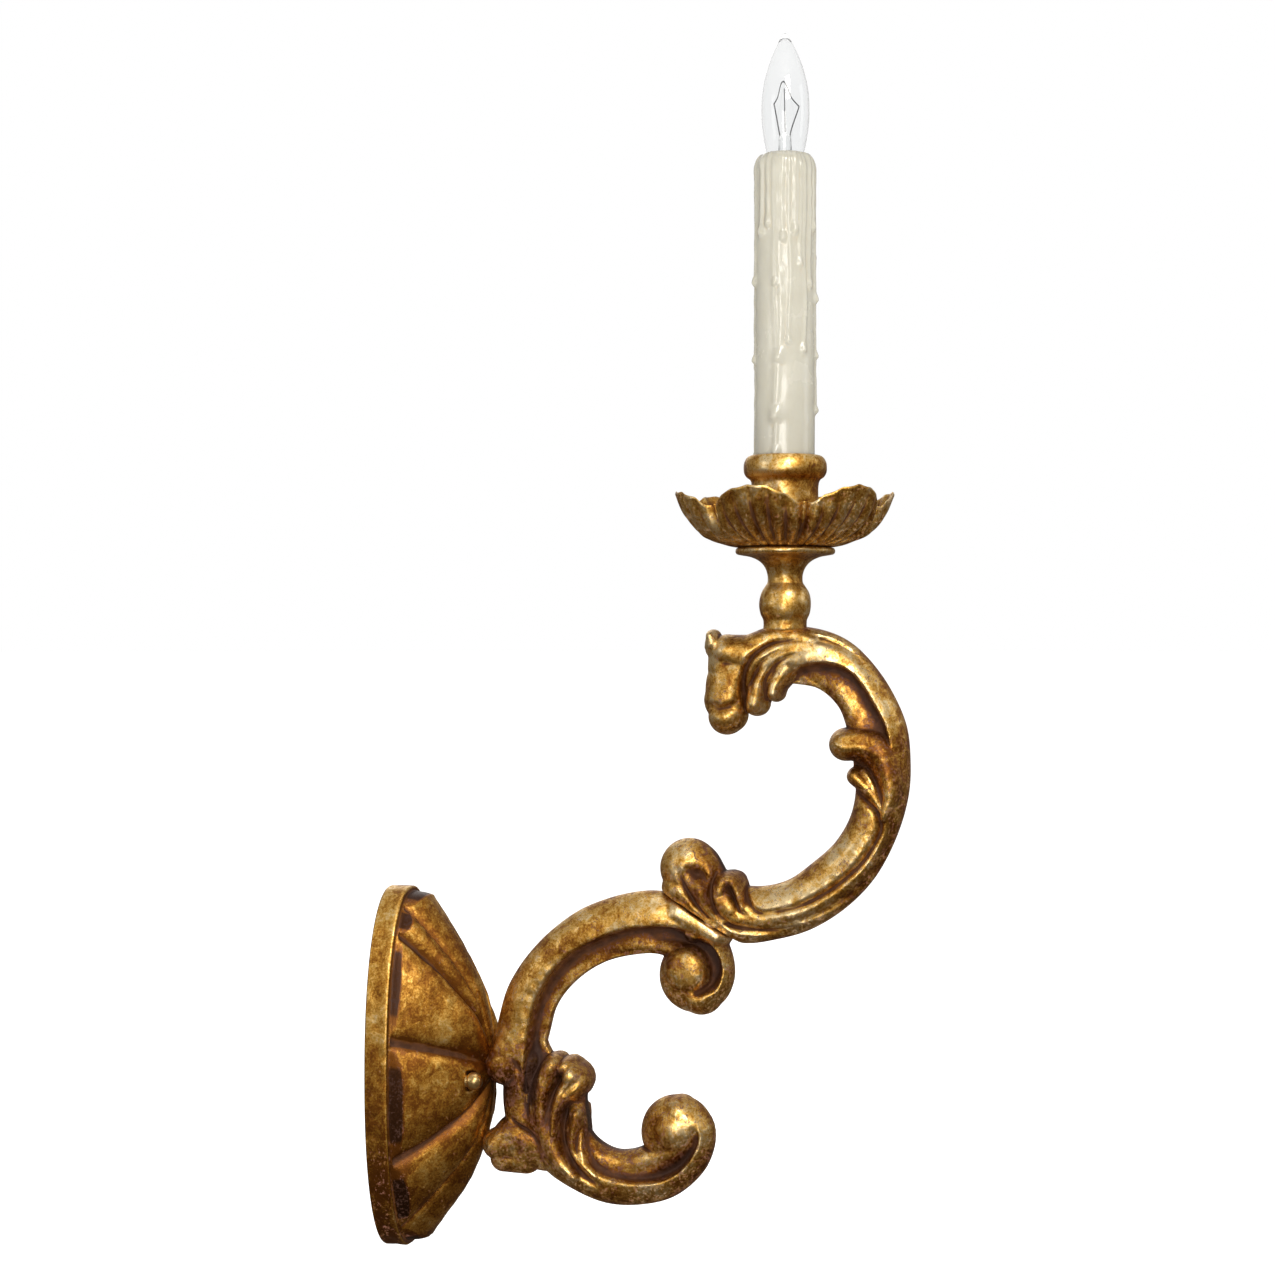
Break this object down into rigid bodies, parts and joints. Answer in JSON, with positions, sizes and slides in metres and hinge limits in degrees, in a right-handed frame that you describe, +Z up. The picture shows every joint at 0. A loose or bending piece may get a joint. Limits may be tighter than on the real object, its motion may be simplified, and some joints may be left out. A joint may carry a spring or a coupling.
{
  "type": "wall sconce",
  "caption": "Gilt carved-wood electric wall sconce: oval gadrooned backplate, acanthus double-scroll arm, petal bobeche, drip candle sleeve and flame bulb.",
  "frame": {"origin": "the point of the crossbar's rear face, in the wall plane, on the sconce's plane of symmetry and at the backplate's centre height", "axes": "+Z up, +Y into the wall, so the arm reaches out along -Y; X runs along the wall"},
  "size_m": [0.1132, 0.2793, 0.637],
  "materials": {
    "gilt_wood": "water-gilt gold leaf over red-brown bole on carved wood, rubbed through on edges, satin",
    "aged_brass": "cast ball nut, gilded and rubbed",
    "brass": "bright turned brass",
    "zinc_steel": "zinc-plated",
    "green_steel": "green-dyed screw",
    "dowel_wood": "plain beech",
    "phenolic": "moulded phenolic",
    "card": "insulating paper tube",
    "nickel": "nickel plate",
    "tungsten": "coiled tungsten wire",
    "black_plastic": "wire insulation",
    "white_plastic": "wire insulation",
    "ivory_wax": "glossy resin wax drips over an ivory tube",
    "clear_glass": "clear blown glass",
    "glass_black": "black vitrite glass"
  },
  "bodies": {
    "sconce": {"backplate": "gilt_wood", "lower_scroll": "gilt_wood", "upper_scroll": "gilt_wood", "stem": "gilt_wood", "bobeche": "gilt_wood", "candle_cup": "gilt_wood", "wall_crossbar": "zinc_steel", "mounting_stud_left": "zinc_steel", "mounting_stud_right": "zinc_steel", "arm_bolt": "zinc_steel", "arm_bolt_washer": "zinc_steel", "lower_arm_screw": "zinc_steel", "rod_washer": "zinc_steel", "socket_bracket": "zinc_steel", "ground_screw": "green_steel", "ball_nut_left": "aged_brass", "ball_nut_right": "aged_brass", "stem_rod": "brass", "rod_locknut": "brass", "bracket_nut": "brass", "socket_screw_shell": "brass", "socket_contact": "brass", "terminal_screw_brass": "brass", "scroll_dowel_left": "dowel_wood", "scroll_dowel_right": "dowel_wood", "socket_body": "phenolic", "socket_liner": "card", "terminal_screw_nickel": "nickel", "lead_black": "black_plastic", "wire_nut_black": "black_plastic", "lead_white": "white_plastic", "wire_nut_white": "white_plastic"},
    "candle": {"candle_sleeve": "ivory_wax"},
    "bulb": {"bulb_base_shell": "nickel", "bulb_contact_tip": "nickel", "bulb_lead_left": "nickel", "bulb_lead_right": "nickel", "bulb_support": "nickel", "bulb_filament": "tungsten", "bulb_glass": "clear_glass", "bulb_stem": "clear_glass", "bulb_insulator": "glass_black"}
  },
  "joints": [
    {"name": "sleeve_lift", "type": "slide", "parent": "sconce", "child": "candle", "axis": [0, 0, 1], "range_m": [0, 0.165]},
    {"name": "bulb_lift", "type": "slide", "parent": "candle", "child": "bulb", "axis": [0, 0, 1], "range_m": [0, 0.045]}
  ]
}
